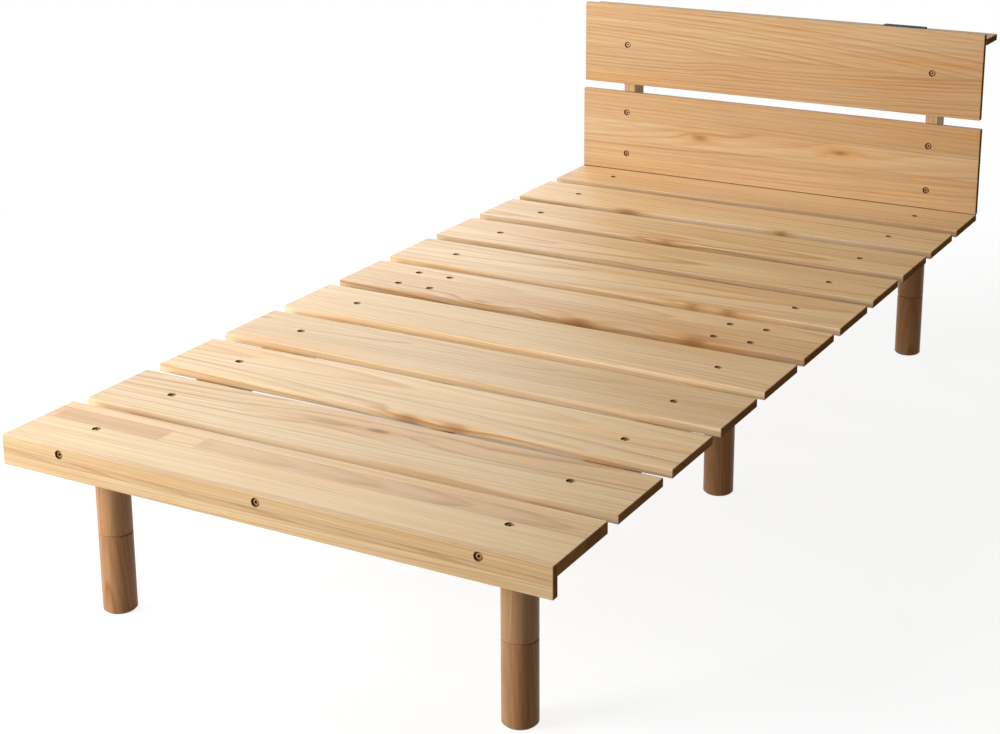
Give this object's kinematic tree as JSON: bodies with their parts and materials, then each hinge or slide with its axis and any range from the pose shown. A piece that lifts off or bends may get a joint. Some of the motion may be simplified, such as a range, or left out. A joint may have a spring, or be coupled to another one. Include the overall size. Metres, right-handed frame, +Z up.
{
  "type": "floor bed frame",
  "caption": "Single platform bed frame of pale pine: a slatted deck on stacked screw-in legs, with a two-board headboard and a rear shelf with an outlet.",
  "frame": {"origin": "on the floor, under the middle of the whole bed's length and width", "axes": "+X across the bed, to the right as seen from its foot; +Y from the foot to the head; +Z up"},
  "size_m": [0.98, 2.092, 0.724],
  "materials": {
    "pine_board": "pale natural pine boards, glued from strips, clear satin finish",
    "pine_leg": "turned pine, clear satin finish",
    "bronzed_steel": "antique bronze plating",
    "plated_steel": "bright zinc plating",
    "black_plastic": "fine matt moulding"
  },
  "bodies": {
    "frame": {"foot_apron": "pine_board", "slat_01": "pine_board", "slat_02": "pine_board", "slat_03": "pine_board", "slat_04": "pine_board", "slat_05": "pine_board", "slat_06": "pine_board", "slat_07": "pine_board", "slat_08": "pine_board", "slat_09": "pine_board", "slat_10": "pine_board", "slat_11": "pine_board", "rail_left_foot": "pine_board", "rail_left_head": "pine_board", "rail_right_foot": "pine_board", "rail_right_head": "pine_board", "splice_left": "pine_board", "splice_right": "pine_board", "headboard_lower": "pine_board", "headboard_upper": "pine_board", "post_left": "pine_board", "post_right": "pine_board", "shelf": "pine_board", "outlet_housing": "black_plastic", "outlet_face": "black_plastic", "slat_screws": "bronzed_steel", "board_screws": "bronzed_steel", "connector_bolts": "plated_steel", "barrel_nuts": "plated_steel", "rail_inserts": "plated_steel"},
    "foot_left_upper_length": {"upper_leg_foot_left": "pine_leg", "upper_leg_bolt_foot_left": "plated_steel", "upper_leg_insert_foot_left": "plated_steel"},
    "foot_left_lower_length": {"lower_leg_foot_left": "pine_leg", "lower_leg_bolt_foot_left": "plated_steel"},
    "foot_right_upper_length": {"upper_leg_foot_right": "pine_leg", "upper_leg_bolt_foot_right": "plated_steel", "upper_leg_insert_foot_right": "plated_steel"},
    "foot_right_lower_length": {"lower_leg_foot_right": "pine_leg", "lower_leg_bolt_foot_right": "plated_steel"},
    "middle_left_upper_length": {"upper_leg_middle_left": "pine_leg", "upper_leg_bolt_middle_left": "plated_steel", "upper_leg_insert_middle_left": "plated_steel"},
    "middle_left_lower_length": {"lower_leg_middle_left": "pine_leg", "lower_leg_bolt_middle_left": "plated_steel"},
    "middle_right_upper_length": {"upper_leg_middle_right": "pine_leg", "upper_leg_bolt_middle_right": "plated_steel", "upper_leg_insert_middle_right": "plated_steel"},
    "middle_right_lower_length": {"lower_leg_middle_right": "pine_leg", "lower_leg_bolt_middle_right": "plated_steel"},
    "head_left_upper_length": {"upper_leg_head_left": "pine_leg", "upper_leg_bolt_head_left": "plated_steel", "upper_leg_insert_head_left": "plated_steel"},
    "head_left_lower_length": {"lower_leg_head_left": "pine_leg", "lower_leg_bolt_head_left": "plated_steel"},
    "head_right_upper_length": {"upper_leg_head_right": "pine_leg", "upper_leg_bolt_head_right": "plated_steel", "upper_leg_insert_head_right": "plated_steel"},
    "head_right_lower_length": {"lower_leg_head_right": "pine_leg", "lower_leg_bolt_head_right": "plated_steel"}
  },
  "joints": [
    {"name": "unscrew_upper_foot_left", "type": "slide", "parent": "frame", "child": "foot_left_upper_length", "axis": [0, 0, -1], "range_m": [0, 0.03]},
    {"name": "unscrew_lower_foot_left", "type": "slide", "parent": "foot_left_upper_length", "child": "foot_left_lower_length", "axis": [0, 0, -1], "range_m": [0, 0.03]},
    {"name": "unscrew_upper_foot_right", "type": "slide", "parent": "frame", "child": "foot_right_upper_length", "axis": [0, 0, -1], "range_m": [0, 0.03]},
    {"name": "unscrew_lower_foot_right", "type": "slide", "parent": "foot_right_upper_length", "child": "foot_right_lower_length", "axis": [0, 0, -1], "range_m": [0, 0.03]},
    {"name": "unscrew_upper_middle_left", "type": "slide", "parent": "frame", "child": "middle_left_upper_length", "axis": [0, 0, -1], "range_m": [0, 0.03]},
    {"name": "unscrew_lower_middle_left", "type": "slide", "parent": "middle_left_upper_length", "child": "middle_left_lower_length", "axis": [0, 0, -1], "range_m": [0, 0.03]},
    {"name": "unscrew_upper_middle_right", "type": "slide", "parent": "frame", "child": "middle_right_upper_length", "axis": [0, 0, -1], "range_m": [0, 0.03]},
    {"name": "unscrew_lower_middle_right", "type": "slide", "parent": "middle_right_upper_length", "child": "middle_right_lower_length", "axis": [0, 0, -1], "range_m": [0, 0.03]},
    {"name": "unscrew_upper_head_left", "type": "slide", "parent": "frame", "child": "head_left_upper_length", "axis": [0, 0, -1], "range_m": [0, 0.03]},
    {"name": "unscrew_lower_head_left", "type": "slide", "parent": "head_left_upper_length", "child": "head_left_lower_length", "axis": [0, 0, -1], "range_m": [0, 0.03]},
    {"name": "unscrew_upper_head_right", "type": "slide", "parent": "frame", "child": "head_right_upper_length", "axis": [0, 0, -1], "range_m": [0, 0.03]},
    {"name": "unscrew_lower_head_right", "type": "slide", "parent": "head_right_upper_length", "child": "head_right_lower_length", "axis": [0, 0, -1], "range_m": [0, 0.03]}
  ]
}
